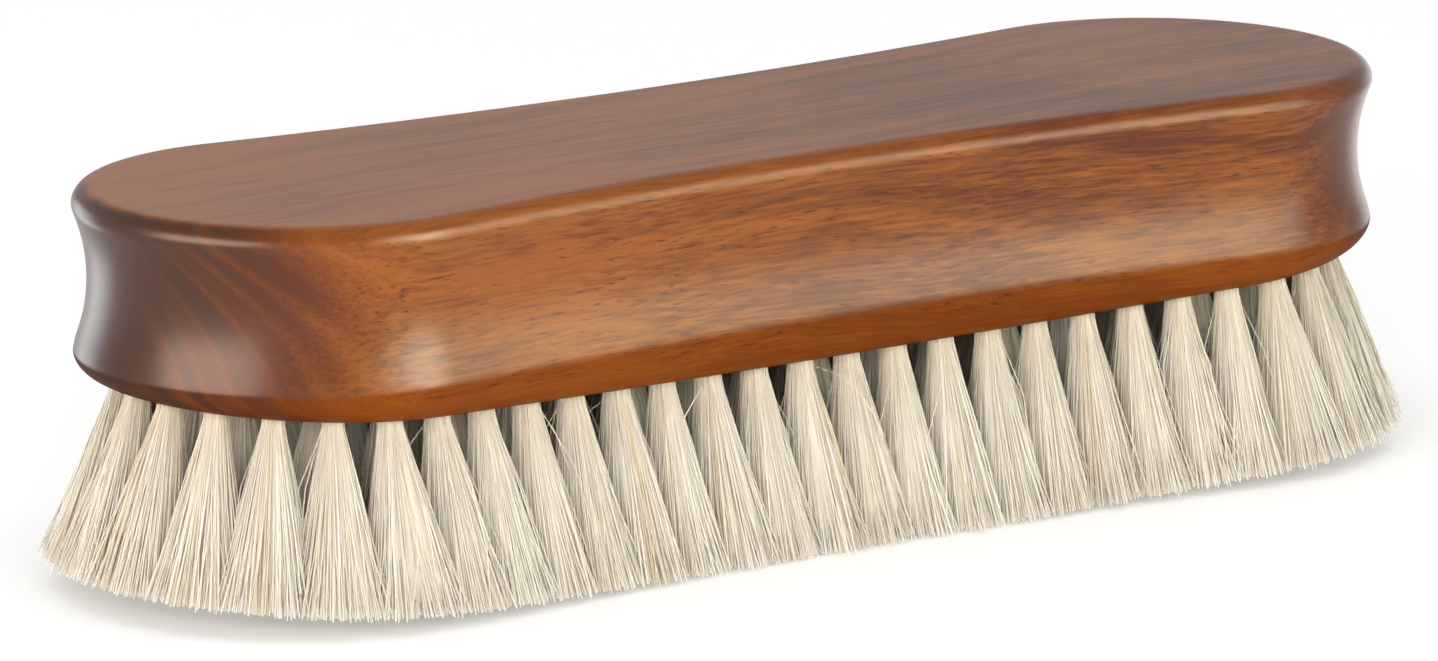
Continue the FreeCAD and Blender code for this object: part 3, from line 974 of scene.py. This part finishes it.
class BRUSH_OT_hair(bpy.types.Operator):
    """Fill each tuft solid with hair"""

    bl_idname = "brush.hair"
    bl_label = "Hair tufts"

    def execute(self, context):
        hair = context.scene.brush_hair
        material = brush_hair(hair)
        for number, name in enumerate(HAIR_NODES):
            draw = np.random.default_rng(HAIR_SEED + number)
            edge = name.startswith("edge")
            count = hair.strands if edge else hair.inner_strands
            thickness = hair.thickness if edge else hair.inner_thickness
            forms = tuft_forms(name)
            paths, tones = zip(*[tuft_strands(form, hair, count, draw) for form in forms])
            tubes = strand_tubes(np.concatenate(paths), np.concatenate(tones), thickness, draw)
            cores = packed_cores(forms, hair.root_width)
            piece = hair_piece(name.replace("tufts", "hair"), [tubes, cores], material)
            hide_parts(name)
        return {"FINISHED"}


class BRUSH_OT_strays(bpy.types.Operator):
    """Draw the few loose hairs that cross the roots of the edge row"""

    bl_idname = "brush.strays"
    bl_label = "Loose hairs"

    def execute(self, context):
        hair = context.scene.brush_hair
        draw = np.random.default_rng(STRAY_SEED)
        edge = [name for name in HAIR_NODES if name.startswith("edge")]
        collars = np.array([form[1].mean(0) for name in edge for form in tuft_forms(name)])
        collars = collars[np.abs(collars[:, 0]) < STRAY_LIMIT]
        start = collars[draw.choice(len(collars), hair.strays, replace=False)]
        outward = start * [STRAY_LENGTHWISE, 1, 0]
        outward /= np.linalg.norm(outward, axis=1)[:, None]
        beside = np.stack([-outward[:, 1], outward[:, 0], np.zeros(len(start))], 1)
        sign = draw.choice([-1, 1], (len(start), 1))
        across = sign * draw.uniform(*STRAY_ACROSS, (len(start), 1)) * MM
        out = draw.uniform(*STRAY_OUT, (len(start), 1)) * MM
        fall = draw.uniform(*STRAY_FALL, (len(start), 1)) * MM
        root = start + outward * STRAY_ROOT[0] * MM + beside * sign * STRAY_ROOT[1] * MM
        way = np.linspace(0, 1, RINGS)[None, :, None]
        bend = np.sin(np.pi * way) * draw.normal(0, STRAY_BOW, (len(start), 1, 1)) * MM
        paths = (
            root[:, None]
            + beside[:, None] * (across[:, None] * way + bend)
            + outward[:, None] * out[:, None] * np.sqrt(way)
            - np.array([0, 0, 1]) * fall[:, None] * way**STRAY_DROOP
        )
        tones = draw.uniform(*STRAY_TONES, len(start))
        tubes = strand_tubes(paths, tones, hair.thickness * STRAY_THICKNESS, draw)
        hair_piece("stray_hair", [tubes], bpy.data.materials["goat_hair_bleached"])
        return {"FINISHED"}


class BRUSH_OT_anchors(bpy.types.Operator):
    """Give the wire anchors in the block their steel"""

    bl_idname = "brush.anchors"
    bl_label = "Wire anchors"

    def execute(self, context):
        material = drawn_wire()
        for name in ANCHOR_NODES:
            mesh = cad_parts[name].data
            mesh.materials.clear()
            mesh.materials.append(material)
        return {"FINISHED"}


class BRUSH_OT_stage(bpy.types.Operator):
    """Set out the floor, the light and the camera"""

    bl_idname = "brush.stage"
    bl_label = "Stage"

    def execute(self, context):
        scene = context.scene
        stage = scene.brush_stage
        corners = np.array([[-1, -1, 0], [1, -1, 0], [1, 1, 0], [-1, 1, 0]], float) * FLOOR_HALF
        sheet, none = np.array([[0, 1, 2, 3]]), np.empty((0, 3), int)
        floor = new_piece("floor", corners, sheet, none, studio_floor(stage))

        world = bpy.data.worlds.new("studio")
        world.use_nodes = True
        tree = world.node_tree
        studio = tree.nodes["Background"]
        studio.inputs["Color"].default_value = (1, 1, 1, 1)
        around = add_node(tree, "ShaderNodeTexCoord")
        upward = add_node(tree, "ShaderNodeSeparateXYZ", {0: around.outputs["Generated"]})
        raised = add_node(
            tree,
            "ShaderNodeMapRange",
            {
                "Value": upward.outputs["Z"],
                "From Min": 0.3,
                "From Max": 0.75,
                "To Min": stage.surround,
                "To Max": stage.ceiling,
            },
        )
        # the wall behind the camera is dark, which only shows where the lacquer mirrors it
        front = unit_towards(stage.azimuth, 0)
        ahead = add_node(
            tree, "ShaderNodeVectorMath", {0: around.outputs["Generated"], 1: front}, operation="DOT_PRODUCT"
        )
        dark = add_node(
            tree,
            "ShaderNodeMapRange",
            {"Value": ahead.outputs["Value"], "From Min": 0.0, "From Max": 0.6, "To Min": 1.25, "To Max": 0.05},
        )
        mirrored = add_node(
            tree,
            "ShaderNodeMix",
            {0: add_node(tree, "ShaderNodeLightPath").outputs["Is Glossy Ray"], 2: 1.0, 3: dark.outputs[0]},
        )
        strength = add_node(
            tree, "ShaderNodeMath", {0: raised.outputs[0], 1: mirrored.outputs[0]}, operation="MULTIPLY"
        )
        tree.links.new(strength.outputs[0], studio.inputs["Strength"])
        scene.world = world

        for name, azimuth, elevation, distance, width, height, brightness, colour in SOFTBOXES:
            light = bpy.data.lights.new(name, "AREA")
            light.shape = "RECTANGLE"
            light.size = width
            light.size_y = height
            # an area lamp's power is its brightness times pi times its area
            light.energy = brightness * stage.light * math.pi * width * height
            light.color = linear(colour)[:3]
            lamp = bpy.data.objects.new(name, light)
            towards = unit_towards(math.radians(azimuth), math.radians(elevation))
            lamp.location = towards * distance
            lamp.rotation_euler = towards.to_track_quat("Z", "Y").to_euler()
            lamp.visible_camera = False
            lamp.visible_glossy = name.endswith("strip")
            lamp.visible_diffuse = name.endswith("scrim")
            scene.collection.objects.link(lamp)

        lens = bpy.data.cameras.new("camera")
        lens.sensor_width = SENSOR
        lens.lens = stage.lens
        lens.shift_x, lens.shift_y = stage.shift
        camera = bpy.data.objects.new("camera", lens)
        back = unit_towards(stage.azimuth, stage.elevation)
        camera.location = Vector(stage.target) + back * stage.distance
        camera.rotation_euler = back.to_track_quat("Z", "Y").to_euler()
        scene.collection.objects.link(camera)
        scene.camera = camera
        scene.view_settings.view_transform = "Standard"
        return {"FINISHED"}


class BRUSH_PT_panel(bpy.types.Panel):
    """The brush's pieces and settings"""

    bl_idname = "BRUSH_PT_panel"
    bl_label = "Shoe shine brush"
    bl_space_type = "VIEW_3D"
    bl_region_type = "UI"
    bl_category = "Brush"

    def draw(self, context):
        for operator in OPERATORS:
            self.layout.operator(operator.bl_idname)
        for group in (context.scene.brush_block, context.scene.brush_hair, context.scene.brush_stage):
            box = self.layout.box()
            for name in group.__annotations__:
                box.prop(group, name)


OPERATORS = (BRUSH_OT_block, BRUSH_OT_hair, BRUSH_OT_strays, BRUSH_OT_anchors, BRUSH_OT_stage)
CLASSES = (BlockSettings, HairSettings, StageSettings, *OPERATORS, BRUSH_PT_panel)


def register():
    for item in CLASSES:
        bpy.utils.register_class(item)
    bpy.types.Scene.brush_block = PointerProperty(type=BlockSettings)
    bpy.types.Scene.brush_hair = PointerProperty(type=HairSettings)
    bpy.types.Scene.brush_stage = PointerProperty(type=StageSettings)


def unregister():
    del bpy.types.Scene.brush_stage
    del bpy.types.Scene.brush_hair
    del bpy.types.Scene.brush_block
    for item in reversed(CLASSES):
        bpy.utils.unregister_class(item)


def main():
    """Make every piece and the stage."""
    register()
    bpy.ops.brush.stage()
    bpy.ops.brush.block()
    bpy.ops.brush.hair()
    bpy.ops.brush.strays()
    bpy.ops.brush.anchors()


if __name__ == "__main__":
    main()
